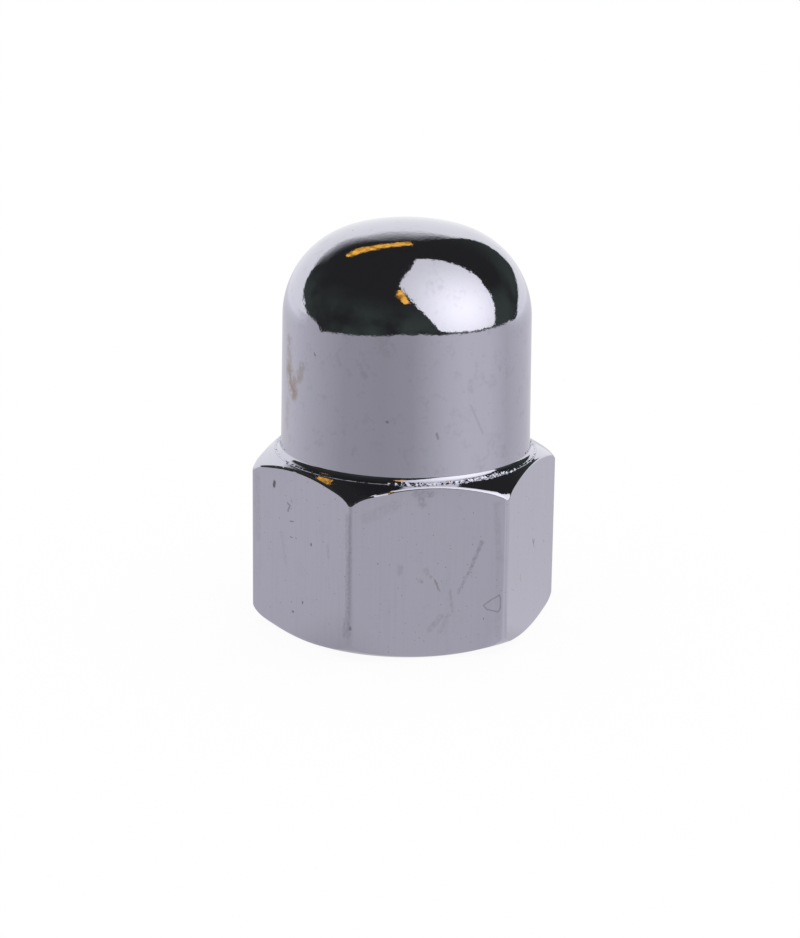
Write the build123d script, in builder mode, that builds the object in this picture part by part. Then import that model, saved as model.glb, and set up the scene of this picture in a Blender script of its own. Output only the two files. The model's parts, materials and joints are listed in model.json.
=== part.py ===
from build123d import *
from math import cos, pi, radians, tan
import os

# A tall cap nut: a hexagon with a closed, domed cap above it and a blind tapped hole below.
# It is one piece, turned from hexagon bar. The origin is the centre of the face that bears
# on the work, and +Z runs up the axis to the crown of the dome. Sizes are in millimetres.

# The bar: a 19 mm spanner fits it, and polishing has softened its long corners.
across_flats = 19.0
flat_count = 6
bar_corner_radius = 0.5

# Heights above the bearing face.
overall_height = 28.8
hexagon_height = 12.55

# Both ends of the hexagon are turned to a cone that rounds over towards the long corners of
# the bar, which leaves an arched edge on each flat. The bearing face stops a little inside
# the flats, and the arched edges are broken.
bearing_face_setback = 0.55
foot_cone_angle = 25.0
shoulder_cone_angle = 30.0
turned_corner_radius = 1.2
arched_edge_break = 0.12

# The cap stands inside the flats, in a small concave root with a crisp rim. Its wall draws in
# a little as it rises to a tight knuckle, and a flatter crown closes it.
cap_setback = 0.7
cap_root_radius = 0.4
cap_draft_angle = 0.6
knuckle_radius = 6.35
crown_radius = 15.0

# The hole is drilled for an M12 coarse thread, and its mouth is countersunk.
tapping_drill_diameter = 10.2
drilled_depth = 21.5
drill_point_angle = 118.0
countersink_diameter = 13.0
countersink_angle = 120.0

# Sizes that follow from the ones above.
flat_distance = across_flats / 2
corner_distance = flat_distance / cos(pi / flat_count)
bearing_radius = flat_distance - bearing_face_setback
foot_cone_height = (corner_distance - bearing_radius) * tan(radians(foot_cone_angle))
root_rim_distance = flat_distance - cap_setback + cap_root_radius
shoulder_cone_height = (corner_distance - root_rim_distance) * tan(radians(shoulder_cone_angle))
drill_radius = tapping_drill_diameter / 2
drill_point_height = drill_radius / tan(radians(drill_point_angle / 2))

with BuildPart() as cap_nut:
    # The blank is a length of hexagon bar as tall as the finished nut.
    with BuildSketch(Plane.XY) as bar_section:
        RegularPolygon(radius=flat_distance, side_count=flat_count, major_radius=False)
        fillet(bar_section.vertices(), radius=bar_corner_radius)
    extrude(amount=overall_height)

    # Everything outside this outline is turned away: the two cones, the root and the cap.
    with BuildSketch(Plane.XZ) as turned_outline:
        with BuildLine():
            root = JernArc(
                start=(root_rim_distance, hexagon_height),
                tangent=(-1, 0),
                radius=cap_root_radius,
                arc_size=-(90 - cap_draft_angle),
            )
            crown_sweep = CenterArc(
                center=(0, overall_height - crown_radius),
                radius=crown_radius,
                start_angle=0,
                arc_size=90,
                mode=Mode.PRIVATE,
            )
            wall = IntersectingLine(start=root @ 1, direction=root % 1, other=crown_sweep)
            RadiusArc(wall @ 1, (0, overall_height), -crown_radius)
            Polyline(
                (0, overall_height),
                (0, 0),
                (bearing_radius, 0),
                (corner_distance, foot_cone_height),
                (corner_distance, hexagon_height - shoulder_cone_height),
                (root_rim_distance, hexagon_height),
            )
        make_face()

        # The knuckle of the cap and the two outermost corners of the outline are rounded.
        knuckle = turned_outline.vertices().sort_by_distance(wall @ 1)[0]
        fillet(knuckle, radius=knuckle_radius)
        turned_corners = turned_outline.vertices().sort_by(Axis.X)[-2:]
        fillet(turned_corners, radius=turned_corner_radius)
    revolve(axis=Axis.Z, mode=Mode.INTERSECT)

    # A cone cuts a flat along a hyperbola. All twelve of those edges are broken, and the break
    # runs on round the corners that they lead into.
    arched_edges = cap_nut.edges().filter_by(GeomType.HYPERBOLA)
    chamfer(arched_edges, length=arched_edge_break)

    # The blind hole is drilled and countersunk from the bearing face.
    with Locations(Location((0, 0, 0), (180, 0, 0))):
        CounterSinkHole(
            radius=drill_radius,
            counter_sink_radius=countersink_diameter / 2,
            depth=drilled_depth,
            counter_sink_angle=countersink_angle,
        )

    # The drill leaves its point at the closed end of the hole.
    with Locations((0, 0, drilled_depth)):
        Cone(
            bottom_radius=drill_radius,
            top_radius=0,
            height=drill_point_height,
            align=(Align.CENTER, Align.CENTER, Align.MIN),
            mode=Mode.SUBTRACT,
        )

cap_nut.part.label = "cap_nut"

os.makedirs("parts", exist_ok=True)
export_step(cap_nut.part, "parts/cap_nut.step")
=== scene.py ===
# %% [markdown]
# # A polished cap nut
# A cap nut is a nut with a closed dome, screwed on where a bare thread would look rough or catch
# on something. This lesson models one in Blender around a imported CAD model, gives it a worn
# chromed finish and sets up the small studio that its mirror surfaces show.
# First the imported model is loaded. It is the frame: its size and place hold for everything below.

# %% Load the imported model
import json
from functools import lru_cache
from math import atan2, copysign, cos, degrees, pi, radians, sin, sqrt, tan

import bmesh
import bpy
from mathutils import Matrix, Vector
from mathutils.kdtree import KDTree

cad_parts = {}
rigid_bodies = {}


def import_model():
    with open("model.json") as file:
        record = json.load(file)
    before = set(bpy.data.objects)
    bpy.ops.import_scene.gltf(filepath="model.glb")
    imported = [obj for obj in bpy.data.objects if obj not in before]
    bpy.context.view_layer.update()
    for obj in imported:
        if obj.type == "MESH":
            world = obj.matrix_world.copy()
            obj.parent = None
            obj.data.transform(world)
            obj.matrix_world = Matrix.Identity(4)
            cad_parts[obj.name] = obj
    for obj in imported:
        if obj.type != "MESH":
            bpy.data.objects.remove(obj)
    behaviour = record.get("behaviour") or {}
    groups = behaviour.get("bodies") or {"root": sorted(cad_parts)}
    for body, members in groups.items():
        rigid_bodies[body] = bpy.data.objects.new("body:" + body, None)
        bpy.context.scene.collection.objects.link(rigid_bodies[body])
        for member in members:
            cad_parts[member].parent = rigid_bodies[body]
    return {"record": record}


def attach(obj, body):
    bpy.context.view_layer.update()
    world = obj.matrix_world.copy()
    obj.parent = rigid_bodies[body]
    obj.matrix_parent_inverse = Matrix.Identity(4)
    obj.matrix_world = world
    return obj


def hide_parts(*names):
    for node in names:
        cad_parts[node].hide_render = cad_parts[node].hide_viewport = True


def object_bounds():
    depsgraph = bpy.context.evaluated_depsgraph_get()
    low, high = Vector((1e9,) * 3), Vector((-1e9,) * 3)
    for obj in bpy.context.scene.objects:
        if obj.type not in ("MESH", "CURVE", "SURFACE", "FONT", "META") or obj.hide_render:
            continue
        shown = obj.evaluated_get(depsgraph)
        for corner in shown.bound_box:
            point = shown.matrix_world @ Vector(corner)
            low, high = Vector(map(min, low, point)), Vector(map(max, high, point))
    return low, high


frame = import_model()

cad_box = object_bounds()
print("CAD box in mm:", [[round(1000 * c, 3) for c in corner] for corner in cad_box])

# %% [markdown]
# The nut is modelled at a thousand times its size, so that one Blender unit is one millimetre.
# Edit-mode tools have thresholds of about a tenth of a millimetre when a unit is a metre, which
# would weld the thread shut. The finished mesh is scaled down and the scale is applied.
# The sizes that the frame knows are measured on it. The others are the drawing's.

# %% Sizes in millimetres
METRE = 0.001
high = cad_box[1] / METRE
thread_mount = next(m for m in frame["record"]["mounts"] if m["name"] == "thread")

overall_height = high.z
flat_distance = high.y
corner_distance = flat_distance / cos(pi / 6)
bar_corner_radius = (corner_distance - high.x) / (1 / cos(pi / 6) - 1)
drill_radius = thread_mount["dims"]["r_mm"]

hexagon_height = 12.55
bearing_face_setback = 0.55
foot_cone_angle = radians(25)
shoulder_cone_angle = radians(30)
turned_corner_radius = 1.2
cap_setback = 0.7
cap_root_radius = 0.4
cap_draft = radians(0.6)
knuckle_radius = 6.35
crown_radius = 15.0
print("bar corner radius", round(bar_corner_radius, 3), "drill radius", drill_radius)

# %% [markdown]
# The real nut is hexagon bar of which everything outside one outline is turned away in a lathe.
# From the bearing face the outline runs out along the foot cone and rounds over towards the
# corners of the bar, and the shoulder does the same from above. These two functions give the
# turned height at any distance from the axis: a straight cone, then an arc that touches it.

# %% The turned ends of the hexagon
bearing_radius = flat_distance - bearing_face_setback
rim_distance = flat_distance - cap_setback + cap_root_radius
turned_corner = corner_distance - turned_corner_radius


def foot_height(r):
    """The height of the turned foot at that distance from the axis."""
    if r < turned_corner + turned_corner_radius * sin(foot_cone_angle):
        return (r - bearing_radius) * tan(foot_cone_angle)
    centre = foot_height(turned_corner) + turned_corner_radius / cos(foot_cone_angle)
    return centre - sqrt(turned_corner_radius ** 2 - (r - turned_corner) ** 2)


def shoulder_height(r):
    """The height of the turned shoulder at that distance from the axis."""
    if r < turned_corner + turned_corner_radius * sin(shoulder_cone_angle):
        return hexagon_height - (r - rim_distance) * tan(shoulder_cone_angle)
    centre = shoulder_height(turned_corner) - turned_corner_radius / cos(shoulder_cone_angle)
    return centre + sqrt(turned_corner_radius ** 2 - (r - turned_corner) ** 2)


print("heights on the corners:", round(foot_height(high.x), 3), round(shoulder_height(high.x), 3))

# %% [markdown]
# The arched edge on each flat is where the turned surface leaves the bar, so it depends on how
# far the bar reaches in each direction. Near a corner that is a small arc, elsewhere a straight
# flat. Polishing broke the edge: three points bend the outline round it on a smooth curve. It
# is broken least at the corners of the bar, and one arch is worn wide towards its right end.

# %% Where the bar ends, and the broken edge
TURNED_ROWS, BREAK_ROWS = 12, 4
EDGE_BREAK, CORNER_BREAK, WORN_MORE = 0.12, 0.05, 0.20
FULL_BREAK_FROM = radians(12)
WORN_FROM, WORN_MOST, WORN_TO = radians(-75), radians(-62.5), radians(-60.3)
corner_centre = (flat_distance - bar_corner_radius) / cos(pi / 6)
corner_end = atan2(bar_corner_radius / 2, corner_centre + bar_corner_radius * cos(pi / 6))


def off_corner(angle):
    """The angle between that direction and the nearest corner of the bar."""
    return abs((angle + pi / 6) % (pi / 3) - pi / 6)


def bar_reach(angle):
    """How far the hexagon bar reaches from the axis in that direction."""
    off = off_corner(angle)
    if off > corner_end:
        return flat_distance / cos(pi / 6 - off)
    aside = corner_centre * sin(off)
    return corner_centre * cos(off) + sqrt(bar_corner_radius ** 2 - aside ** 2)


def worn_edge(angle, wide=False):
    """How much the arched edge is broken in that direction."""
    usual = CORNER_BREAK + (EDGE_BREAK - CORNER_BREAK) * min(1, off_corner(angle) / FULL_BREAK_FROM)
    widening = min((angle - WORN_FROM) / (WORN_MOST - WORN_FROM), (WORN_TO - angle) / (WORN_TO - WORN_MOST))
    return usual + WORN_MORE * max(0, widening) ** 2 if wide else usual


def turned_end(height, start, reach, edge_break, into_flat):
    """Points (r, z) along a turned end from radius start outwards, and round the broken edge."""
    nearby = 0.01
    slope = (height(reach) - height(reach - nearby)) / nearby
    inner = reach - edge_break / sqrt(1 + slope * slope)
    points = []
    for i in range(TURNED_ROWS):
        share = i / TURNED_ROWS
        closing_up = 1.5 * share - 0.5 * share * share
        r = start + (inner - start) * closing_up
        points.append((r, height(r)))
    first, corner = Vector((inner, height(inner))), Vector((reach, height(reach)))
    last = corner + Vector((0, into_flat))
    for i in range(BREAK_ROWS + 1):
        share = i / BREAK_ROWS
        points.append(tuple(first.lerp(corner, share).lerp(corner.lerp(last, share), share)))
    return points


print("reach of the bar at a corner and at a flat:", round(bar_reach(0), 3), round(bar_reach(pi / 6), 3))

# %% [markdown]
# At the foot of the cap the tool left a small raised lip. Over one stretch the tool chattered.
# There the lip is higher and broader, and it fills a part of the concave root above it. Both
# lips are given by a radius, how far the middle lies inside the rim, and a height.

# %% The outline of the lip
LIP_ROWS = 11
PLAIN_LIP, CHATTERED_LIP = (0.09, 0.0, 0.07), (0.14, 0.03, 0.09)
LIP_START, LIP_END = radians(-10), radians(160)
CHATTER_FROM, CHATTER_TO, CHATTER_PASSAGE = radians(-106), radians(-46), radians(5)
lip_foot = rim_distance + 0.13


def arc(centre, radius, start, end, pieces):
    """Points (r, z) on an arc from one angle to another, both ends included."""
    turn = [start + (end - start) * i / pieces for i in range(pieces + 1)]
    return [(centre[0] + radius * cos(a), centre[1] + radius * sin(a)) for a in turn]


def chatter(angle):
    """1 in the stretch where the tool chattered, 0 elsewhere, with short passages between."""
    off = abs((angle - (CHATTER_FROM + CHATTER_TO) / 2 + pi) % (2 * pi) - pi)
    return min(1, max(0, ((CHATTER_TO - CHATTER_FROM) / 2 - off) / CHATTER_PASSAGE + 0.5))


def root_height(r):
    """The height of the concave root at that distance from the axis."""
    return hexagon_height + cap_root_radius - sqrt(cap_root_radius ** 2 - (rim_distance - r) ** 2)


def lip(angle):
    """Points over the lip from outside inwards, kept on or above the shoulder and the root."""
    radius, inwards, height = (a + (b - a) * chatter(angle) for a, b in zip(PLAIN_LIP, CHATTERED_LIP))
    centre = (rim_distance - inwards, hexagon_height + height - radius)
    points = arc(centre, radius, LIP_START, LIP_END, LIP_ROWS - 1)
    return [(r, max(z, shoulder_height(r) if r > rim_distance else root_height(r))) for r, z in points]


for angle in (0, (CHATTER_FROM + CHATTER_TO) / 2):
    print("top of the lip:", round(max(z for r, z in lip(angle)), 3), "with chatter", chatter(angle))

# %% [markdown]
# Above the lip follows the concave root. The cap is a straight wall that leans in by 0.6 degrees,
# a tight knuckle and a flat crown. The knuckle's arc touches both: its centre lies one knuckle
# radius inside the wall, and as far from the crown's centre as the two radii differ.

# %% The outline of the cap
ROOT_PIECES, WALL_PIECES, KNUCKLE_PIECES, CROWN_PIECES = 10, 12, 36, 12
root_centre = (rim_distance, hexagon_height + cap_root_radius)
root = arc(root_centre, cap_root_radius, -pi / 2, -pi + cap_draft, ROOT_PIECES)
crown_centre = (0, overall_height - crown_radius)

wall_normal = Vector((cos(cap_draft), sin(cap_draft)))
wall_rise = Vector((-sin(cap_draft), cos(cap_draft)))
inner_line = wall_normal * (Vector(root[-1]).dot(wall_normal) - knuckle_radius)
offset = inner_line - Vector(crown_centre)
reach = (crown_radius - knuckle_radius) ** 2 - offset.length_squared
half = offset.dot(wall_rise)
knuckle_centre = inner_line + wall_rise * (sqrt(half * half + reach) - half)
knuckle_end = atan2(knuckle_centre.y - crown_centre[1], knuckle_centre.x)
knuckle = arc(knuckle_centre, knuckle_radius, cap_draft, knuckle_end, KNUCKLE_PIECES)
crown = arc(crown_centre, crown_radius, knuckle_end, pi / 2, CROWN_PIECES)
wall = [tuple(Vector(root[-1]).lerp(Vector(knuckle[0]), i / WALL_PIECES)) for i in range(1, WALL_PIECES)]
print("knuckle centre", [round(c, 3) for c in knuckle_centre])

# %% [markdown]
# The body is begun with a few small helpers. Every tool acts on what is selected, and loading the
# frame leaves its nodes selected, so each step first selects only its own object. An outline is
# drawn as by hand: one vertex is extruded from point to point.

# %% Helpers for modelling
def only(obj):
    """Makes obj the one selected and active object."""
    if bpy.context.object and bpy.context.object.mode != "OBJECT":
        bpy.ops.object.mode_set(mode="OBJECT")
    bpy.ops.object.select_all(action="DESELECT")
    obj.select_set(True)
    bpy.context.view_layer.objects.active = obj
    return obj


def edit_all():
    """Opens the active object in edit mode with all of it selected."""
    bpy.ops.object.mode_set(mode="EDIT")
    bpy.ops.mesh.select_all(action="SELECT")


def draw_outline(name, points):
    """A chain of edges through points (r, z), in the plane of X and Z."""
    bpy.ops.mesh.primitive_plane_add(size=1, location=(0, 0, 0))
    chain = only(bpy.context.object)
    chain.name = name
    edit_all()
    bpy.ops.mesh.select_mode(type="VERT")
    bpy.ops.mesh.merge(type="CENTER")
    bpy.ops.transform.translate(value=(points[0][0], 0, points[0][1]))
    for (r0, z0), (r1, z1) in zip(points, points[1:]):
        step = (r1 - r0, 0, z1 - z0)
        bpy.ops.mesh.extrude_region_move(TRANSFORM_OT_translate={"value": step})
    bpy.ops.object.mode_set(mode="OBJECT")
    return chain


def spin_outline(name, points, steps):
    """A closed turned body: the outline starts and ends on the axis, and is spun once round it."""
    body = draw_outline(name, points)
    edit_all()
    bpy.ops.mesh.spin(steps=steps, angle=2 * pi, center=(0, 0, 0), axis=(0, 0, 1))
    bpy.ops.mesh.select_all(action="SELECT")
    bpy.ops.mesh.remove_doubles(threshold=0.0005)
    bpy.ops.mesh.normals_make_consistent(inside=False)
    bpy.ops.object.mode_set(mode="OBJECT")
    return body


def open_edges(obj):
    """How many edges don't join exactly two faces."""
    check = bmesh.new()
    check.from_mesh(obj.data)
    count = sum(len(edge.link_faces) != 2 for edge in check.edges)
    check.free()
    return count

# %% [markdown]
# The outline towards one corner of the bar is spun round the axis. That makes a round body with
# neat rows and columns, in which every row is a point of the outline.

# %% Spin the outline
STEPS_ROUND = 360


@lru_cache(maxsize=None)
def outline_towards(angle):
    """The whole outline in that direction. The lip stands for the first two points of the root."""
    reach = bar_reach(angle)
    above, below = worn_edge(angle, wide=True), worn_edge(angle)
    foot = turned_end(foot_height, bearing_radius, reach, below, below)
    shoulder = turned_end(shoulder_height, lip_foot, reach, above, -above)
    return [(0, 0), *foot, *reversed(shoulder), *lip(angle), *root[2:], *wall, *knuckle, *crown[1:]]


spun = outline_towards(0)
nut = spin_outline("polished_cap_nut", spun, STEPS_ROUND)
print("spun body:", len(spun), "rows,", len(nut.data.polygons), "faces,", open_edges(nut), "open edges")

# %% [markdown]
# Each column will be moved to the outline in its own direction, which makes the six flats. Near
# the corners of the bar the surface turns quickest, so there the columns first crowd together.

# %% Crowd the columns near the corners
CROWDED, CROWDED_TO = radians(8), radians(2)


def crowd(angle):
    """Moves evenly spaced directions towards the nearest corner of the bar."""
    corner = round(angle / (pi / 3)) * pi / 3
    off = angle - corner
    if abs(off) < CROWDED:
        return corner + off * CROWDED_TO / CROWDED
    rest = (abs(off) - CROWDED) * (pi / 6 - CROWDED_TO) / (pi / 6 - CROWDED)
    return corner + copysign(CROWDED_TO + rest, off)


print("columns at 4, 8 and 19 degrees go to", [round(degrees(crowd(radians(a))), 2) for a in (4, 8, 19)])

# %% [markdown]
# Now the columns are moved. A vertex finds its row by its place on the spun outline, and takes
# the point of that row in its own direction. The arches come out by themselves, as in the lathe,
# and the rows run along them.

# %% Move every column to where the bar ends
def extent(obj):
    """How far the object reaches from the axis in X and in Y."""
    return [round(max(abs(vert.co[axis]) for vert in obj.data.vertices), 4) for axis in (0, 1)]


rows = KDTree(len(spun))
for number, (r, z) in enumerate(spun):
    rows.insert((r, 0, z), number)
rows.balance()
row_of, angle_of = {}, {}
for vert in nut.data.vertices:
    row = rows.find((vert.co.xy.length, 0, vert.co.z))[1]
    angle = round(crowd(atan2(vert.co.y, vert.co.x)), 5)
    r, z = outline_towards(angle)[row]
    vert.co = (r * cos(angle), r * sin(angle), z)
    row_of[vert.index], angle_of[vert.index] = row, angle
print("reach in x and y:", extent(nut))

# %% [markdown]
# Two vertex groups say how much the broken edges and the lip will be roughened: the lip most
# where the tool chattered, and the edges most to the left of that stretch. The rows are counted
# from the bearing face: its centre, the foot, the shoulder and the lip.

# %% Say where the nut is rough
END_ROWS = TURNED_ROWS + BREAK_ROWS + 1
foot_break = range(1 + TURNED_ROWS + 1, END_ROWS)
shoulder_break = range(1 + END_ROWS + 1, 1 + END_ROWS + BREAK_ROWS)
lip_rows = range(1 + 2 * END_ROWS, 1 + 2 * END_ROWS + LIP_ROWS)
EVEN_EDGE, PLAIN_LIP_ROUGH = 0.3, 0.2
broken_group = nut.vertex_groups.new(name="broken edges")
lip_group = nut.vertex_groups.new(name="lip")
for index, row in row_of.items():
    angle = angle_of[index]
    for broken in (foot_break, shoulder_break):
        if row in broken:
            inside = sin(pi * (broken.index(row) + 1) / (len(broken) + 1))
            ragged = worn_edge(angle) / EDGE_BREAK * (1 if angle < CHATTER_FROM else EVEN_EDGE)
            broken_group.add([index], inside * ragged ** 2, "REPLACE")
    if row in lip_rows:
        rough = PLAIN_LIP_ROUGH + (1 - PLAIN_LIP_ROUGH) * chatter(angle)
        lip_group.add([index], rough, "REPLACE")
print("rows of the lip:", len(lip_rows), "rows of each broken edge:", len(foot_break))

# %% [markdown]
# The lip is ragged on this nut: the tool chattered, and plating built up on what it left. Clouds
# noise will move the surface along its normals, so the lip first needs enough vertices. Only the
# edges that run round the lip are divided, which keeps neat quads.

# %% Divide the lip
def runs_round_the_lip(edge):
    """Whether both ends of an edge are in the same row, of the lip or close to it."""
    first, second = (row_of[vert.index] for vert in edge.verts)
    return first == second and lip_rows.start - 2 < first < lip_rows.stop + 1


only(nut)
bpy.ops.object.mode_set(mode="EDIT")
bpy.ops.mesh.select_mode(type="EDGE")
bpy.ops.mesh.select_all(action="DESELECT")
mesh = bmesh.from_edit_mesh(nut.data)
for edge in mesh.edges:
    edge.select_set(runs_round_the_lip(edge))
bmesh.update_edit_mesh(nut.data)
print("edges round the lip:", sum(edge.select for edge in mesh.edges))
bpy.ops.mesh.subdivide(number_cuts=2)
bpy.ops.object.mode_set(mode="OBJECT")
print("faces:", len(nut.data.polygons), "open edges:", open_edges(nut))

# %% [markdown]
# Two Displace modifiers do the roughening. Their middle level decides where the noise neither
# lifts nor lowers: for the lip it is near the middle grey, and for the broken edges it is white,
# so that those are only ever worn away and the nut keeps its size.

# %% Roughen the lip and the broken edges
def roughen(obj, group, size, strength, middle):
    """Moves a vertex group along its normals by clouds of that size, by up to that strength."""
    clouds = bpy.data.textures.new(group, "CLOUDS")
    clouds.noise_scale = size
    modifier = obj.modifiers.new(group, "DISPLACE")
    modifier.texture = clouds
    modifier.texture_coords = "LOCAL"
    modifier.vertex_group = group
    modifier.strength = strength
    modifier.mid_level = middle
    only(obj)
    bpy.ops.object.modifier_apply(modifier=modifier.name)
    obj.vertex_groups.remove(obj.vertex_groups[group])


roughen(nut, "lip", size=0.27, strength=0.32, middle=0.45)
roughen(nut, "broken edges", size=0.30, strength=0.08, middle=1.0)
print("open edges", open_edges(nut), "reach in x and y:", extent(nut))

# %% [markdown]
# The hole is drilled from below and its mouth is countersunk. The drill's pointed end is a cone
# of 118 degrees. One spun outline is the shape of the drill and the countersink together, and it
# starts a little below the nut so that the cut goes cleanly through the bearing face.

# %% Drill and countersink the hole
def cut(body, tool, operation):
    """A Boolean modifier with another body, applied, after which the tool is deleted."""
    only(body)
    modifier = body.modifiers.new(operation.title(), "BOOLEAN")
    modifier.operation = operation
    modifier.object = tool
    modifier.solver = "EXACT"
    bpy.ops.object.modifier_apply(modifier=modifier.name)
    bpy.data.objects.remove(tool)
    print(body.name, "after", operation.lower() + ":", len(body.data.polygons), "faces")


drilled_depth = 21.5
drill_point_angle = radians(118)
countersink_radius = 6.5
countersink_angle = radians(120)
countersink_slope = tan(countersink_angle / 2)
drill_tip = drilled_depth + drill_radius / tan(drill_point_angle / 2)
BELOW = 1.0
drill = spin_outline("drill", [
    (0, -BELOW),
    (countersink_radius + BELOW * countersink_slope, -BELOW),
    (drill_radius, (countersink_radius - drill_radius) / countersink_slope),
    (drill_radius, drilled_depth),
    (0, drill_tip),
], 120)
cut(nut, drill, "DIFFERENCE")
print("open edges", open_edges(nut))

# %% [markdown]
# The thread is an M12 coarse one: a ridge of 60 degrees that climbs 1.75 mm in a turn. Its
# groove is cut by a tool with the same section, flat at its tip over an eighth of the pitch. The
# Screw modifier winds that section up the hole. The tool's inner edge stays clear of the wall.

# %% Wind the tap
thread_pitch = 1.75
thread_major_radius = 6.0
tooth_inner = drill_radius - 0.1
half_tip = thread_pitch / 16
half_angle = radians(30)
half_foot = half_tip + (thread_major_radius - tooth_inner) * tan(half_angle)
THREAD_TURNS = 13

tap = draw_outline("tap", [
    (tooth_inner, -half_foot), (thread_major_radius, -half_tip),
    (thread_major_radius, half_tip), (tooth_inner, half_foot),
])
edit_all()
bpy.ops.transform.translate(value=(0, 0, -thread_pitch))
bpy.ops.mesh.edge_face_add()
bpy.ops.mesh.delete(type="ONLY_FACE")
bpy.ops.object.mode_set(mode="OBJECT")
screw = tap.modifiers.new("Wind", "SCREW")
screw.axis = "Z"
screw.angle = 2 * pi
screw.screw_offset = thread_pitch
screw.iterations = THREAD_TURNS
screw.steps = screw.render_steps = 96
bpy.ops.object.modifier_apply(modifier=screw.name)
edit_all()
bpy.ops.mesh.fill_holes(sides=4)
bpy.ops.mesh.normals_make_consistent(inside=False)
bpy.ops.object.mode_set(mode="OBJECT")
print("tap before grinding:", len(tap.data.polygons), "faces,", open_edges(tap), "open edges")

# %% [markdown]
# Like a real tap, the tool is ground down to a taper at its end, so the last turns run out.
# What lies inside the grinding stays of the tool, and that is then cut out of the nut.

# %% Grind the tap and cut the thread
full_thread_depth = 18.8
taper = 1.7
ground_radius = thread_major_radius + 0.3
grinding = spin_outline("grinding", [
    (0, -BELOW), (ground_radius, -BELOW), (ground_radius, full_thread_depth),
    (tooth_inner, full_thread_depth + taper), (0, full_thread_depth + taper),
], 96)
cut(tap, grinding, "INTERSECT")
cut(nut, tap, "DIFFERENCE")
print("open edges", open_edges(nut))

# %% [markdown]
# A mirror finish shows every fault in the normals. Smooth shading by angle keeps the real edges
# sharp, and the Weighted Normal modifier lets the large faces decide the normals at their
# borders, so that a flat stays flat right up to its rounded corner. Then the mesh is brought
# down to its true size and tied to the frame.

# %% Normals and true size
only(nut)
bpy.ops.object.shade_smooth_by_angle(angle=radians(24))
weighted = nut.modifiers.new("Weighted normals", "WEIGHTED_NORMAL")
weighted.mode = "FACE_AREA"
weighted.keep_sharp = True
bpy.ops.object.modifier_apply(modifier=weighted.name)
nut.scale = (METRE, METRE, METRE)
bpy.ops.object.transform_apply(location=True, rotation=True, scale=True)
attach(nut, "root")
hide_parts("cap_nut")
print("triangles:", sum(len(face.vertices) - 2 for face in nut.data.polygons))

# %% [markdown]
# The finish is bright chrome over polished steel. It is a metal with one colour everywhere, so
# its character comes from small faults: the plating isn't quite even, the polishing wheel left
# upright lines on the flats, there are pits, dull smudges and a few single marks. Grey strips of
# painted shade also run along the corners of the flats. Each fault is a node group, built once and
# placed in every material with values of its own. It takes the place on the nut and gives one mask
# or height. The helpers put a new node in the tree that its values come from. Blender's Mix node
# keeps its colour inputs at the places 6 and 7, after numbers and vectors, so they aren't asked for by
# name.

# %% Helpers for shader nodes
def fill(node, values):
    """Sets a node's inputs; a value may be a number, a colour or another node's output."""
    for name, value in values.items():
        if isinstance(value, bpy.types.NodeSocket):
            node.id_data.links.new(value, node.inputs[name])
        else:
            node.inputs[name].default_value = value
    return node


def add_node(tree, kind, values=None, **settings):
    """A new shader node with its input values and its own settings."""
    new = tree.nodes.new("ShaderNode" + kind)
    for name, setting in settings.items():
        setattr(new, name, setting)
    return fill(new, values or {})


def maths(operation, first, second, clamp=False):
    """A Math node; at least one of its two values is another node's output."""
    tree = (first if isinstance(first, bpy.types.NodeSocket) else second).id_data
    return add_node(tree, "Math", {0: first, 1: second}, operation=operation, use_clamp=clamp).outputs[0]


def vector_maths(operation, first, second):
    """Vector Math; SCALE takes a number as its second value, the others take a vector."""
    place = "Scale" if operation == "SCALE" else 1
    new = add_node(first.id_data, "VectorMath", {0: first, place: second}, operation=operation)
    return new.outputs["Value" if operation in ("DOT_PRODUCT", "DISTANCE") else "Vector"]


def noise(place, scale, detail, **more):
    """The outputs of a Noise Texture: its grey value is the first, and Color the second."""
    values = {"Vector": place, "Scale": scale, "Detail": detail, **more}
    return add_node(place.id_data, "TexNoise", values).outputs


def ramp(value, start, end, low=0.0, high=1.0):
    """A smooth step from low to high as the value goes from start to end."""
    return add_node(value.id_data, "MapRange", {
        "Value": value, "From Min": start, "From Max": end, "To Min": low, "To Max": high,
    }, interpolation_type="SMOOTHSTEP").outputs["Result"]


def blend(factor, first, second):
    """The first colour where the factor is 0, and the second where it is 1."""
    return add_node(factor.id_data, "Mix", {0: factor, 6: first, 7: second}, data_type="RGBA").outputs[2]


def new_group(name, output, **inputs):
    """An empty node group with one output. It takes a Position and inputs with these defaults."""
    tree = bpy.data.node_groups.new(name, "ShaderNodeTree")
    for label, default in {"Position": (0, 0, 0), **inputs}.items():
        kind = "NodeSocketFloat" if isinstance(default, float) else "NodeSocketVector"
        tree.interface.new_socket(label, in_out="INPUT", socket_type=kind).default_value = default
    tree.interface.new_socket(output, in_out="OUTPUT", socket_type="NodeSocketFloat")
    return tree, tree.nodes.new("NodeGroupInput").outputs, tree.nodes.new("NodeGroupOutput").inputs[0]


def place_group(group, position, **values):
    """Places a node group by its name and returns its one output."""
    new = position.id_data.nodes.new("ShaderNodeGroup")
    new.node_tree = bpy.data.node_groups[group]
    return fill(new, {"Position": position, **values}).outputs[0]

# %% [markdown]
# Plating grows unevenly, so a mirror of it has long lazy waves and short ripples that fray the
# edges of what it shows. They are a few thousandths of a millimetre high, far too little to
# model, so they go into a Bump node. The group gives their height in those thousandths.

# %% Node group: uneven plating
tree, given, out = new_group("uneven plating", "Height", Waves=4.0, Ripples=3.0)
wave = noise(given["Position"], scale=0.5, detail=1.0)[0]
ripple = noise(given["Position"], scale=2.8, detail=3.0)[0]
high_waves = maths("MULTIPLY", wave, given["Waves"])
high_ripples = maths("MULTIPLY", ripple, given["Ripples"])
tree.links.new(maths("ADD", high_waves, high_ripples), out)
print("uneven plating:", len(tree.nodes), "nodes")

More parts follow.
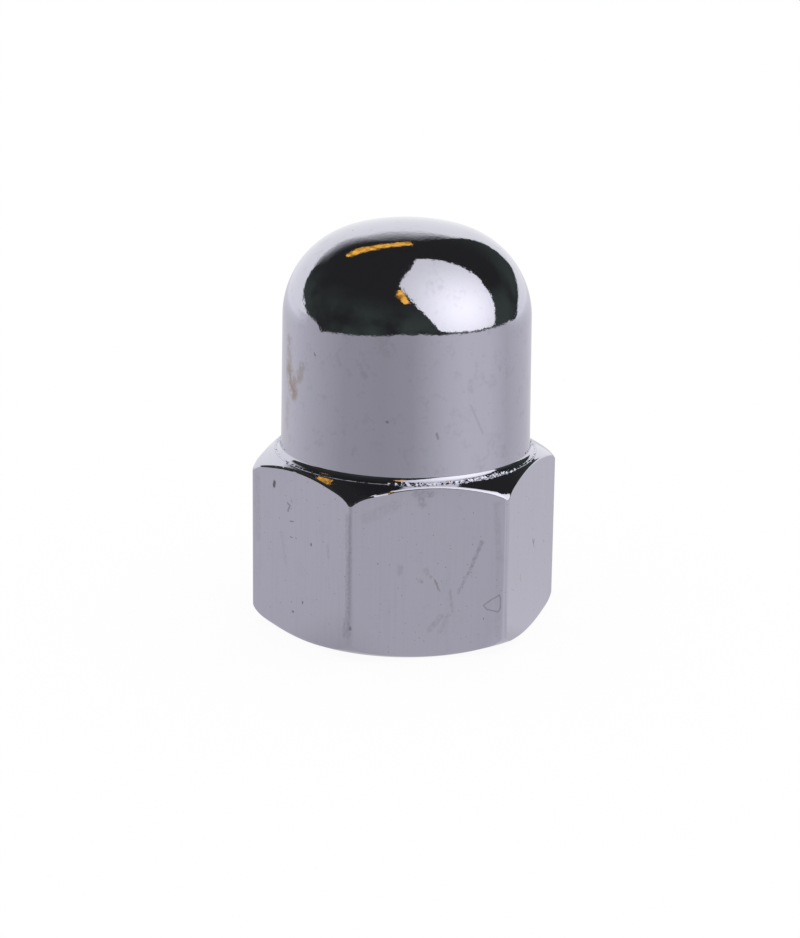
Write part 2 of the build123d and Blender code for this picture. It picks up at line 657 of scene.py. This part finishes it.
# %% [markdown]
# The flats were polished up and down, which leaves fine upright lines of slightly different
# brightness. Noise that is squeezed across and stretched along the height draws them.

# %% Node group: polishing lines
tree, given, out = new_group("polishing lines", "Mask", Across=4.0, Along=0.12)
across, along = given["Across"], given["Along"]
stretch = add_node(tree, "CombineXYZ", {"X": across, "Y": across, "Z": along}).outputs[0]
squeezed = vector_maths("MULTIPLY", given["Position"], stretch)
fine = noise(squeezed, scale=1.0, detail=4.0, Roughness=0.65)[0]
tree.links.new(ramp(fine, 0.42, 0.72), out)
print("polishing lines:", len(tree.nodes), "nodes")

# %% [markdown]
# Pits are small dark spots where the plating didn't take. A Voronoi texture puts one point in
# each cell of space, and a pit is what lies near that point. The cell's random colour decides
# how large the pit is, and whether the cell has one at all. A little noise frays its outline.

# %% Node group: pits
tree, given, out = new_group("pits", "Mask", Spacing=0.6, Radius=0.08, Share=0.1)
fray = noise(given["Position"], scale=9.0, detail=1.0)["Color"]
shift = vector_maths("SCALE", fray, 0.1)
cells = add_node(tree, "TexVoronoi", {
    "Vector": vector_maths("ADD", given["Position"], shift),
    "Scale": maths("DIVIDE", 1.0, given["Spacing"]),
})
chance = add_node(tree, "SeparateColor", {"Color": cells.outputs["Color"]}).outputs
size = maths("MULTIPLY", given["Radius"], maths("ADD", chance["Green"], 0.35))
distance = maths("MULTIPLY", cells.outputs["Distance"], given["Spacing"])
inside = ramp(maths("DIVIDE", distance, size), 0.4, 1.0, 1.0, 0.0)
there = maths("LESS_THAN", chance["Red"], given["Share"])
tree.links.new(maths("MULTIPLY", inside, there), out)
print("pits:", len(tree.nodes), "nodes")

# %% [markdown]
# Smudges are what fingers and damp leave: blotches about a millimetre across with finer
# mottling in them. Two sizes of noise are added up, and only the strongest places are kept.

# %% Node group: smudges
tree, given, out = new_group("smudges", "Mask", Scale=0.80, Threshold=0.54)
large = noise(given["Position"], scale=given["Scale"], detail=2.0, Distortion=0.4)[0]
finer_scale = maths("MULTIPLY", given["Scale"], 4.0)
mottling = noise(given["Position"], scale=finer_scale, detail=3.0)[0]
both = maths("ADD", maths("MULTIPLY", large, 0.6),
             maths("MULTIPLY", mottling, 0.4))
above = maths("SUBTRACT", both, given["Threshold"])
tree.links.new(maths("MULTIPLY", above, 5.0, clamp=True), out)
print("smudges:", len(tree.nodes), "nodes")

# %% [markdown]
# Single marks, such as a scratch or a stain, sit where they are on the real nut. Each is a soft
# stroke from one point to another: the group measures how far the surface is from the nearest
# point of that line. A little noise in the position keeps a stroke from looking drawn.

# %% Node group: one stroke
ends = {"Start": (0, 0, 0), "End": (0, 0, 1)}
tree, given, out = new_group("one stroke", "Mask", **ends, Width=0.1, Fray=0.1)
fray = noise(given["Position"], scale=3.5, detail=2.0)["Color"]
centred = vector_maths("SUBTRACT", fray, (0.5, 0.5, 0.5))
frayed = vector_maths("SCALE", centred, given["Fray"])
place = vector_maths("ADD", given["Position"], frayed)
line = vector_maths("SUBTRACT", given["End"], given["Start"])
from_start = vector_maths("SUBTRACT", place, given["Start"])
along = vector_maths("DOT_PRODUCT", from_start, line)
length_squared = vector_maths("DOT_PRODUCT", line, line)
share = maths("DIVIDE", along, length_squared, clamp=True)
nearest = vector_maths("SCALE", line, share)
apart = vector_maths("DISTANCE", from_start, nearest)
mask = ramp(maths("DIVIDE", apart, given["Width"]), 0.35, 1.0, 1.0, 0.0)
tree.links.new(mask, out)
print("one stroke:", len(tree.nodes), "nodes")

# %% [markdown]
# The marks are listed where they are on the nut, in millimetres. On a flat a place is given by
# how far it is along the flat and how high, and on the cap by its angle and height.
# Every row is a stroke: its two ends, its width and how strong it is.

# %% Dark marks
FRONT, RIGHT, LEFT = 0, 1, 5


def on_flat(number, along, up):
    """A point on a flat; flat 0 faces -Y, and the others follow anticlockwise from above."""
    angle = -pi / 2 + number * pi / 3
    out_way = Vector((cos(angle), sin(angle), 0))
    along_way = Vector((-sin(angle), cos(angle), 0))
    return out_way * flat_distance + along_way * along + Vector((0, 0, up))


def on_cap(turn, up):
    """A point on the wall of the cap or its knuckle; the turn is in degrees, from +X towards +Y."""
    distance = flat_distance - cap_setback - (up - hexagon_height) * tan(cap_draft)
    if up > knuckle[0][1]:
        distance = knuckle_centre.x + sqrt(knuckle_radius ** 2 - (up - knuckle_centre.y) ** 2)
    return Vector((distance * cos(radians(turn)), distance * sin(radians(turn)), up))


def flat_strokes(number, rows):
    return [(on_flat(number, *a), on_flat(number, *b), width, strength) for a, b, width, strength in rows]


def cap_strokes(rows):
    return [(on_cap(*a), on_cap(*b), width, strength) for a, b, width, strength in rows]


dark_marks = flat_strokes(LEFT, [
    ((-2.82, 11.00), (-2.88, 10.76), 0.22, 0.75),
    ((-1.33, 9.86), (-1.09, 9.73), 0.12, 0.36),
    ((-1.09, 9.73), (-1.30, 9.32), 0.14, 0.38),
    ((-0.92, 10.19), (-0.86, 10.02), 0.08, 0.32),
    ((-1.08, 8.60), (-0.68, 8.67), 0.07, 0.46),
    ((-1.02, 7.49), (-0.84, 7.46), 0.08, 0.40),
    ((-0.44, 7.56), (-0.34, 7.52), 0.07, 0.34),
    ((1.30, 7.54), (1.30, 7.46), 0.12, 0.62),
    ((0.36, 3.06), (0.36, 2.98), 0.12, 0.60),
    ((-0.74, 2.05), (-0.68, 2.05), 0.12, 0.62),
]) + flat_strokes(FRONT, [
    ((0.45, 5.75), (0.53, 5.55), 0.07, 0.40),
    ((0.53, 5.55), (0.80, 4.95), 0.06, 0.30),
    ((3.89, 2.82), (3.89, 2.76), 0.06, 0.45),
    ((-3.52, 7.16), (-3.52, 7.10), 0.08, 0.30),
    ((-5.44, 2.62), (-5.42, 2.50), 0.16, 0.50),
]) + flat_strokes(RIGHT, [
    ((0.30, 6.70), (0.55, 6.35), 0.10, 0.60),
    ((0.80, 6.60), (0.55, 6.35), 0.08, 0.55),
    ((0.55, 6.35), (0.66, 6.05), 0.08, 0.50),
    ((2.98, 5.86), (2.98, 5.78), 0.10, 0.45),
    ((-2.42, 4.95), (-2.35, 4.45), 0.06, 0.40),
    ((0.21, 7.60), (0.21, 7.50), 0.08, 0.35),
])
dark_cap_marks = cap_strokes([
    ((-146.2, 20.80), (-145.6, 20.70), 0.11, 0.42),
    ((-119.6, 20.00), (-119.0, 19.85), 0.32, 0.12),
    ((-108.8, 16.80), (-108.3, 16.75), 0.11, 0.45),
    ((-86.4, 15.95), (-85.9, 15.60), 0.13, 0.35),
    ((-70.2, 17.70), (-63.4, 15.60), 0.13, 0.12),
])
print("dark marks:", len(dark_marks) + len(dark_cap_marks))

# %% [markdown]
# Softer marks: a scratch that crosses the front flat, grey smears under the arch and near the
# foot, and the thin closed outline of a blister where the plating lifted. Upright grey strips along
# the corners of the front and left flats are painted shade. They stand for the darker reflection
# where the flats round over. The cap has a brown stain low on its left side, and shallow dents that
# only bend what it mirrors. A dent's strength is its depth in thousandths of a millimetre.

# %% Soft marks, the blister, the stains and the dents
smears_and_painted_corner_shade = flat_strokes(FRONT, [
    ((3.66, 8.35), (2.90, 6.47), 0.20, 0.55),
    ((2.90, 6.47), (2.09, 4.80), 0.15, 0.5),
    ((-1.00, 12.00), (0.10, 11.95), 0.38, 0.42),
    ((-0.62, 11.70), (-0.50, 11.25), 0.42, 0.42),
    ((-1.95, 6.80), (-2.00, 6.30), 0.30, 0.25),
    ((-0.20, 6.50), (-0.15, 6.30), 0.30, 0.28),
    ((0.17, 2.20), (0.90, 3.10), 0.30, 0.28),
    ((1.52, 4.94), (1.69, 3.47), 0.16, 0.32),
    ((0.86, 2.00), (1.41, 3.20), 0.22, 0.22),
    # The next two strips, along the right corner of the front flat, are painted shade.
    ((4.66, 11.00), (4.88, 7.00), 0.32, 0.20),
    ((4.88, 7.00), (4.94, 1.00), 0.30, 0.10),
    ((-4.30, 10.4), (-2.50, 11.2), 0.60, 0.16),
]) + flat_strokes(LEFT, [
    ((-2.10, 7.60), (-1.55, 5.40), 0.22, 0.16),
    ((3.12, 7.90), (3.20, 7.10), 0.24, 0.22),
    # The last three strips, along the corners of the left flat, are painted shade.
    ((-4.80, 11.0), (-4.75, 6.50), 0.40, 0.20),
    ((5.28, 10.5), (5.28, 2.0), 0.34, 0.36),
    ((5.05, 3.0), (4.95, 1.9), 0.30, 0.34),
])
blister_corners = [(3.87, 3.76), (4.35, 4.12), (4.80, 4.36), (5.00, 4.46), (5.06, 4.20), (5.06, 3.52),
                   (4.92, 3.24), (4.58, 3.33), (4.10, 3.48)]
blister = flat_strokes(FRONT, [
    (a, b, 0.08, 0.288) for a, b in zip(blister_corners, blister_corners[1:] + blister_corners[:1])
])
cap_stain = cap_strokes([
    ((-168.5, 21.0), (-168.5, 18.6), 0.70, 0.60),
    ((-168.0, 18.8), (-163.5, 17.6), 0.95, 0.95),
    ((-164.0, 18.2), (-157.0, 18.9), 0.60, 0.60),
    ((-157.0, 18.9), (-155.5, 19.6), 0.50, 0.50),
    ((-170.0, 16.5), (-171.0, 15.0), 0.60, 0.35),
])
flat_stains = flat_strokes(FRONT, [
    ((-0.78, 5.90), (-0.48, 5.72), 0.16, 0.50),
    ((0.42, 5.80), (0.70, 5.10), 0.13, 0.45),
    ((0.10, 6.05), (0.20, 5.95), 0.14, 0.40),
])
cap_dents = cap_strokes([
    ((-157.0, 23.60), (-143.8, 23.00), 0.90, 9.0),
    ((-36.0, 26.60), (-30.5, 26.10), 0.70, 8.0),
    ((-43.0, 23.50), (-42.0, 23.60), 0.60, 8.0),
    ((-155.3, 25.80), (-155.0, 25.70), 0.22, 4.0),
])
print("soft marks:", len(smears_and_painted_corner_shade), "blister sides:", len(blister), "dents:", len(cap_dents))

# %% [markdown]
# One function makes a chromed material from those groups. The faults add up to one mask of
# dullness, which darkens the metal and roughens it. On the flats, that mask also carries the painted
# shade along the corners. Every pattern reads the place on the nut in millimetres. Bump's distance
# is a thousandth of a millimetre, so the heights that feed it are in that unit. What is the same
# everywhere, such as Metallic, is set on the shader itself.

# %% The chromed finish
# The grey is the chrome's own colour. Its lilac tint is painted reflection: the tint of the surroundings
# that the metal mirrors.
CHROME_WITH_PAINTED_TINT = (0.58, 0.58, 0.67, 1)
# The dark colour of the faults. It also paints the shade along the corners of the flats.
TARNISH_AND_PAINTED_SHADE = (0.055, 0.052, 0.058, 1)
BROWN = (0.38, 0.325, 0.285, 1)
MICRON = 1e-6
PIT_DEPTH = 8.0
FAULT_ROUGHNESS = 0.30


def strongest(position, strokes, fray):
    """The strongest of several strokes at each place."""
    total = 0.0
    for start, end, width, strength in strokes:
        mask = place_group("one stroke", position, Start=start, End=end, Width=width, Fray=fray)
        total = maths("MAXIMUM", total, maths("MULTIPLY", mask, strength))
    return total


def chromed(name, roughness, plating, smudges, pits, lines=0.0, dark=(), soft=(), outline=(), stains=(),
            dents=()):
    """Plating is (waves, ripples) and pits (spacing, radius, share, strength). Lines and smudges
    are strengths, and what follows are lists of strokes."""
    material = bpy.data.materials.new(name)
    material.use_nodes = True
    tree = material.node_tree
    shader = tree.nodes["Principled BSDF"]
    shader.inputs["Metallic"].default_value = 1.0
    place = add_node(tree, "TexCoord").outputs["Object"]
    position = vector_maths("SCALE", place, 1 / METRE)

    smudge = maths("MULTIPLY", place_group("smudges", position), smudges)
    line = maths("MULTIPLY", place_group("polishing lines", position), lines)
    spacing, radius, share, strength = pits
    pit = place_group("pits", position, Spacing=spacing, Radius=radius, Share=share)
    pit = maths("MULTIPLY", pit, strength)
    pit = maths("MAXIMUM", pit, strongest(position, dark, fray=0.10))
    grainy = ramp(noise(position, scale=5.0, detail=2.0)[0], 0.32, 0.62, 0.15, 0.5)
    # The soft strokes are smears. On the flats they are also strips of painted shade along the corners.
    smears_and_corner_shade = maths("MULTIPLY", strongest(position, soft, fray=0.25), grainy)
    edge_line = strongest(position, outline, fray=0.05)
    dulling_and_corner_shade = maths("ADD", maths("ADD", smudge, line), maths("ADD", smears_and_corner_shade, edge_line))
    faults_and_corner_shade = maths("MAXIMUM", dulling_and_corner_shade, pit, clamp=True)

    patches = ramp(noise(position, scale=2.2, detail=3.0)[0], 0.30, 0.55)
    brown = maths("MULTIPLY", strongest(position, stains, fray=0.35), patches)
    colour = blend(brown, blend(faults_and_corner_shade, CHROME_WITH_PAINTED_TINT, TARNISH_AND_PAINTED_SHADE), BROWN)
    rough = maths("ADD", maths("MULTIPLY", faults_and_corner_shade, FAULT_ROUGHNESS), roughness)
    height = place_group("uneven plating", position, Waves=plating[0], Ripples=plating[1])
    height = maths("SUBTRACT", height, maths("MULTIPLY", pit, PIT_DEPTH))
    height = maths("SUBTRACT", height, strongest(position, dents, fray=0.30))
    bump = add_node(tree, "Bump", {"Height": height, "Distance": MICRON}).outputs["Normal"]
    fill(shader, {"Base Color": colour, "Roughness": rough, "Normal": bump})
    print(name + ":", len(tree.nodes), "nodes")
    return material

# %% [markdown]
# The nut needs four finishes. The cap mirrors most clearly, and its plating ripples most. Only
# the flats were polished up and down, and they have the most pits. The shoulder and the foot were
# left as turned before they were plated. The thread was never polished, so it is dull.

# %% The four finishes
cap_finish = chromed(
    "chromed cap", roughness=0.045, plating=(4.0, 6.0), smudges=0.16, pits=(0.55, 0.07, 0.05, 0.6),
    dark=dark_cap_marks, stains=cap_stain, dents=cap_dents,
)
flat_finish = chromed(
    "chromed flats", roughness=0.07, plating=(3.0, 1.2), smudges=0.05, pits=(0.30, 0.055, 0.28, 0.50),
    lines=0.035, dark=dark_marks, soft=smears_and_painted_corner_shade, outline=blister, stains=flat_stains,
)
turned_finish = chromed(
    "chromed shoulder and foot", roughness=0.05, plating=(2.0, 5.0), smudges=0.06,
    pits=(0.40, 0.06, 0.10, 0.8),
)
thread_finish = chromed(
    "plated thread", roughness=0.22, plating=(3.0, 5.0), smudges=0.5, pits=(0.35, 0.10, 0.25, 0.8),
)

# %% [markdown]
# Each face gets the finish of its part of the nut. The parts are told apart by place and normal:
# the hole is near the axis, the flats are upright and far out, and the cap stands above the lip.

# %% Give each face its finish
FINISHES = (cap_finish, flat_finish, turned_finish, thread_finish)
CAP, FLATS, TURNED_ENDS, THREAD = range(4)
SLACK, UPRIGHT = 0.05, 0.05
nut.data.materials.clear()
for finish in FINISHES:
    nut.data.materials.append(finish)


def part_of(face):
    """The place in the list of finishes of the one that a face gets."""
    centre = face.center / METRE
    distance = centre.xy.length
    if distance < countersink_radius + SLACK and centre.z < drill_tip:
        return THREAD
    if centre.z > hexagon_height and distance < rim_distance - SLACK:
        return CAP
    if abs(face.normal.z) < UPRIGHT and distance > rim_distance:
        return FLATS
    return TURNED_ENDS


for face in nut.data.polygons:
    face.material_index = part_of(face)
indices = [face.material_index for face in nut.data.polygons]
print("faces:", {finish.name: indices.count(i) for i, finish in enumerate(FINISHES)})

# %% [markdown]
# The camera stands as near to the nut as such a photograph is taken, slightly above it and a
# little to its left, and it is tilted by less than a degree. The lens is given by its focal
# length in pixels of the 800 by 938 picture. A point on the axis is placed by turning the camera
# and not by shifting the lens, so that other views can move the camera freely.

# %% Camera
FRAME_WIDE, FRAME_HIGH = 800, 938
camera_distance = 0.200
camera_turn = radians(-10.3)
camera_rise = radians(15.4)
camera_roll = radians(0.72)
focal_pixels = 2835
sight = Vector((0, 0, 0.01523))
sight_pixel = (405.1, 410.1)

back = Vector((sin(camera_turn) * cos(camera_rise), -cos(camera_turn) * cos(camera_rise), sin(camera_rise)))
camera_data = bpy.data.cameras.new("camera")
camera = bpy.data.objects.new("camera", camera_data)
bpy.context.scene.collection.objects.link(camera)
camera_data.sensor_width = 36
camera_data.lens = focal_pixels / FRAME_HIGH * camera_data.sensor_width
camera_data.clip_start = 0.01
camera.location = sight + back * camera_distance
facing = (-back).to_track_quat("-Z", "Y").to_matrix()
aside = (sight_pixel[0] - FRAME_WIDE / 2) / focal_pixels
below = (sight_pixel[1] - FRAME_HIGH / 2) / focal_pixels
aim = (facing @ Vector((-aside, below, -1))).to_track_quat("-Z", "Y").to_matrix()
camera.rotation_euler = (aim @ Matrix.Rotation(camera_roll, 3, "Z")).to_euler()
bpy.context.scene.camera = camera
print("lens", round(camera_data.lens, 1), "mm")

# %% [markdown]
# A mirror shows its surroundings, so a chromed part is lit by what stands round it. Directions are
# given as a turn and a rise, as seen from the cap: turn 0 points to the camera, 90 to its right.
# What stands there is seen by mirrors only. It throws no light and no shadow, so the floor stays
# even, and a plain colour on another part would still render as it is written.

# %% Helpers for the studio
CAP_MIDDLE = Vector((0, 0, 0.022))


def toward(turn, rise, distance):
    """The point at that turn and rise, in degrees, and that distance in metres from the cap."""
    a, e = radians(turn) + camera_turn, radians(rise)
    return CAP_MIDDLE + distance * Vector((sin(a) * cos(e), -cos(a) * cos(e), sin(e)))


def glowing(name):
    """A new material that only glows, its node tree and its Emission node."""
    material = bpy.data.materials.new(name)
    material.use_nodes = True
    tree = material.node_tree
    tree.nodes.remove(tree.nodes["Principled BSDF"])
    glow = add_node(tree, "Emission")
    fill(tree.nodes["Material Output"], {"Surface": glow.outputs["Emission"]})
    return material, tree, glow


def seen_by_mirrors_only(obj):
    obj.visible_camera = False
    obj.visible_diffuse = False
    obj.visible_shadow = False
    obj.visible_volume_scatter = False


def card(name, distance, middle, corners, material):
    """A slightly domed card at that distance; the middle and the corners are each a turn and a rise."""
    mesh = bpy.data.meshes.new(name)
    points = [toward(*place, distance) for place in [middle, *corners]]
    fan = [(0, i + 1, (i + 1) % len(corners) + 1) for i in range(len(corners))]
    mesh.from_pydata(points, [], fan)
    obj = bpy.data.objects.new(name, mesh)
    bpy.context.scene.collection.objects.link(obj)
    obj.data.materials.append(material)
    seen_by_mirrors_only(obj)
    print(name + ":", len(corners), "corners,", distance, "m from the cap")

# %% [markdown]
# Above the table the studio is a dark tent, open at the back where the white backdrop stands. It
# is a stretched sphere round the nut, and its material draws the opening. Planes bound it: cloth
# hangs where a direction lies beyond any of the first four, down to the hem. The hem is the
# lower of two planes, and a third lifts it at the back. A smooth step between cloth and
# Transparent keeps the edges soft, and softest high up at the left.

# %% The dark tent
tent_material, tree, glow = glowing("dark cloth")
place = add_node(tree, "TexCoord").outputs["Object"]
direction = add_node(tree, "VectorMath", {0: place}, operation="NORMALIZE").outputs["Vector"]
BEYOND = [((0.0, -0.89, 1.0), 0.0), ((1.316, -0.98, 1.0), 0.0), ((1.0, -0.67, 0.0), 0.0),
          ((-1.075, -0.141, 1.0), -1.06)]
HEM = [((-0.13, 0.0, 1.0), 0.0), ((0.06, 0.0, 1.0), 0.0)]
HEM_BEHIND = ((-0.299, -0.784, 1.0), 0.639)
SOFTNESS, MORE_HIGH_LEFT = 0.03, 0.42
TENT_SIZE = (0.145, 0.270, 0.250)


def side_of(plane, offset):
    """How far a direction lies beyond a plane, whose normal is brought to length 1."""
    normal = Vector(plane)
    dot = vector_maths("DOT_PRODUCT", direction, normal.normalized())
    return maths("ADD", dot, offset / normal.length)


def furthest_side(planes):
    """The largest of the distances by which a direction lies beyond several planes."""
    furthest = -1.0
    for plane, offset in planes:
        furthest = maths("MAXIMUM", furthest, side_of(plane, offset))
    return furthest


cloth_side = maths("MINIMUM", furthest_side(BEYOND), furthest_side(HEM))
cloth_side = maths("MINIMUM", cloth_side, side_of(*HEM_BEHIND))
parts = add_node(tree, "SeparateXYZ", {"Vector": direction}).outputs
high_left = maths("MULTIPLY", ramp(parts["X"], 0.30, -0.15), ramp(parts["Z"], 0.35, 0.60))
softness = maths("ADD", maths("MULTIPLY", high_left, MORE_HIGH_LEFT), SOFTNESS)
covered = ramp(maths("DIVIDE", cloth_side, softness), -0.75, 0.25)

# The cloth glows though it is no lamp: its glow is painted light, the little light the cloth gives back.
# Low down, in blotches, it is painted lighter and greener.
BLACK_CLOTH_GLOW, LIGHTER_GREENISH_GLOW = (0.0255, 0.0258, 0.0258, 1), (0.052, 0.066, 0.056, 1)
blotches = ramp(noise(direction, scale=1.6, detail=2.0)[0], 0.30, 0.58)
lighter_greener_low_down = maths("MULTIPLY", ramp(parts["Z"], 0.75, 0.1), blotches)
fill(glow, {"Color": blend(lighter_greener_low_down, BLACK_CLOTH_GLOW, LIGHTER_GREENISH_GLOW)})
clear = add_node(tree, "BsdfTransparent").outputs[0]
edge = add_node(tree, "MixShader", {0: covered, 1: clear, 2: glow.outputs[0]}).outputs[0]
fill(tree.nodes["Material Output"], {"Surface": edge})

bpy.ops.object.select_all(action="DESELECT")
bpy.ops.mesh.primitive_uv_sphere_add(segments=64, ring_count=32, radius=1, location=CAP_MIDDLE)
tent = only(bpy.context.object)
tent.name = "dark_tent"
tent.rotation_euler = (0, 0, camera_turn)
tent.scale = TENT_SIZE
bpy.ops.object.transform_apply(location=False, rotation=False, scale=True)
bpy.ops.object.shade_smooth()
tent.data.materials.append(tent_material)
seen_by_mirrors_only(tent)
print("dark tent:", len(tent.data.polygons), "faces")

# %% [markdown]
# A softbox stands at the right. Its cloth is brightest in the middle. Two warm lamps leave a
# thin strip and a small spot on the dome. Their outlines are those of their reflections.

# %% The softbox and the warm lamps
SOFTBOX_DISTANCE = 0.12
BRIGHTEST_PLACE = (55, 22)
BRIGHTEST, DIMMEST = 1.62, 0.92
softbox_material, tree, glow = glowing("softbox cloth")
place = add_node(tree, "NewGeometry").outputs["Position"]
apart = vector_maths("DISTANCE", place, toward(*BRIGHTEST_PLACE, SOFTBOX_DISTANCE))
strength = ramp(apart, 0.0, 0.125, BRIGHTEST, DIMMEST)
fill(glow, {"Color": (1.0, 0.985, 0.985, 1), "Strength": strength})
card("softbox", SOFTBOX_DISTANCE, (55, 35), [
    (29, 2.7), (40, 0), (60, -2), (84, -1.4), (89.4, 15.8), (94, 34.5), (103, 54.3), (119, 71.5),
    (149, 81.5), (18, 82.8), (-8, 69.5), (-12, 58.5), (-4, 50.9), (5.7, 38.5), (14, 27), (22.5, 14),
], softbox_material)

warm_material, tree, glow = glowing("warm lamp")
place = add_node(tree, "NewGeometry").outputs["Position"]
strength = ramp(noise(place, scale=130.0, detail=2.0)[0], 0.3, 0.6, 0.40, 1.45)
fill(glow, {"Color": (1.0, 0.50, 0.075, 1), "Strength": strength})
card("warm_strip", 0.13, (-154, 56), [
    (-130, 47.5), (-140, 49.3), (-155, 52.6), (-170, 51.9), (179, 47.2), (177.5, 56.5), (-166, 59.6),
    (-145, 59.1), (-127, 53),
], warm_material)
card("warm_spot", 0.118, (-6, 46), [
    (-13, 50.6), (-6.8, 53.4), (0, 42.3), (3.4, 35.9), (-3.4, 35.9), (-12.1, 44.2),
], warm_material)

# %% [markdown]
# The floor is white, for the camera as for mirrors and glass. The Light Path node tells the rays
# apart: glossy and transmission rays see plain white, and the camera sees it with a small part
# of an ordinary diffuse surface in it, which keeps the nut's soft shadow.

# %% The floor
WHITE_FOR_CAMERA = 0.93
FLOOR_RADIUS = 3


def disc(name, radius, height, material):
    """A round sheet at that height, both in metres."""
    bpy.ops.object.select_all(action="DESELECT")
    bpy.ops.mesh.primitive_circle_add(vertices=96, radius=radius, fill_type="NGON", location=(0, 0, height))
    obj = only(bpy.context.object)
    obj.name = name
    obj.data.materials.append(material)
    print(name + ":", radius, "m in radius")
    return obj


floor_material = bpy.data.materials.new("white floor")
floor_material.use_nodes = True
tree = floor_material.node_tree
tree.nodes.remove(tree.nodes["Principled BSDF"])
matt = add_node(tree, "BsdfDiffuse", {"Color": (1, 1, 1, 1)}).outputs[0]
white = add_node(tree, "Emission", {"Color": (1, 1, 1, 1), "Strength": 1.0}).outputs[0]
path = add_node(tree, "LightPath").outputs
mirrored = maths("ADD", path["Is Glossy Ray"], path["Is Transmission Ray"])
for_camera = maths("MULTIPLY", path["Is Camera Ray"], WHITE_FOR_CAMERA)
seen = maths("ADD", for_camera, mirrored, clamp=True)
mixed = add_node(tree, "MixShader", {0: seen, 1: matt, 2: white}).outputs[0]
fill(tree.nodes["Material Output"], {"Surface": mixed})
floor = disc("floor", FLOOR_RADIUS, 0, floor_material)

# %% [markdown]
# On the floor lies a sheet of pale lilac paper, and it is what the upright sides of the nut show.
# The sheet glows, and its tones are painted light and shade in wedges round the nut. It is painted
# brightest on the side of the softbox and darkest in front. Two colour ramps give the painted tone
# by the turn round the nut, one for close by and one for further out. Behind the nut the paper
# fades to the white of the backdrop. Being seen by mirrors only, the sheet doesn't show in the
# picture itself.

# %% The sheet of paper under the nut
# Painted light and shade on the paper: a tone for each turn round the nut, close by and further out.
NEAR_PAINTED_LIGHT = [(-120, 0.64), (-64, 0.59), (-35, 0.475), (-15, 0.50), (0, 0.575), (25, 0.583), (31, 0.57),
              (42, 0.70), (58, 0.62), (75, 0.70), (130, 0.66)]
FAR_PAINTED_LIGHT = [(-120, 0.69), (-90, 0.57), (-55, 0.43), (-20, 0.40), (5, 0.43), (35, 0.64), (52, 0.71),
             (78, 0.70), (100, 0.58), (150, 0.70)]
NEAR_END, FAR_START = 0.044, 0.056
PAPER_RADIUS, PAPER_HEIGHT = 2.9, 0.00002
LILAC, BACKDROP = (1.0, 0.974, 1.016), (0.97, 0.97, 1.0, 1)
paper_material, tree, glow = glowing("lilac paper")
place = add_node(tree, "TexCoord").outputs["Object"]
split = add_node(tree, "SeparateXYZ", {"Vector": place}).outputs
turn = maths("ARCTAN2", split["X"], maths("MULTIPLY", split["Y"], -1))
share_of_turn = maths("ADD", maths("DIVIDE", turn, 2 * pi), 0.5)


def painted_light_round(tones):
    """A colour ramp of painted tones over the whole turn, from -180 degrees to 180."""
    stops = add_node(tree, "ValToRGB", {"Fac": share_of_turn})
    elements = stops.color_ramp.elements
    elements.remove(elements[1])
    elements[0].position = tones[0][0] / 360 + 0.5
    elements[0].color = [tones[0][1] * part for part in LILAC] + [1]
    for angle, painted_tone in tones[1:]:
        elements.new(angle / 360 + 0.5).color = [painted_tone * part for part in LILAC] + [1]
    return stops.outputs["Color"]


away = add_node(tree, "VectorMath", {0: place}, operation="LENGTH").outputs["Value"]
further = ramp(away, NEAR_END, FAR_START)
painted_tone = blend(further, painted_light_round(NEAR_PAINTED_LIGHT), painted_light_round(FAR_PAINTED_LIGHT))
behind = ramp(maths("DIVIDE", split["Y"], away), 0.1, 0.6)
faded = maths("MULTIPLY", behind, ramp(away, 0.06, 0.35))
fill(glow, {"Color": blend(faded, painted_tone, BACKDROP)})
sheet = disc("sheet_of_paper", PAPER_RADIUS, PAPER_HEIGHT, paper_material)
sheet.rotation_euler = (0, 0, camera_turn)
seen_by_mirrors_only(sheet)

# %% [markdown]
# The world is plain white at a strength of 1. It is the only light, so it is soft from all sides,
# and it is also the white backdrop. The view transform is Standard, which leaves white white.

# %% World and view
world = bpy.data.worlds.new("white room")
bpy.context.scene.world = world
world.use_nodes = True
fill(world.node_tree.nodes["Background"], {"Color": (1, 1, 1, 1), "Strength": 1.0})
bpy.context.scene.view_settings.view_transform = "Standard"
print("world:", world.name, "view transform:", bpy.context.scene.view_settings.view_transform)
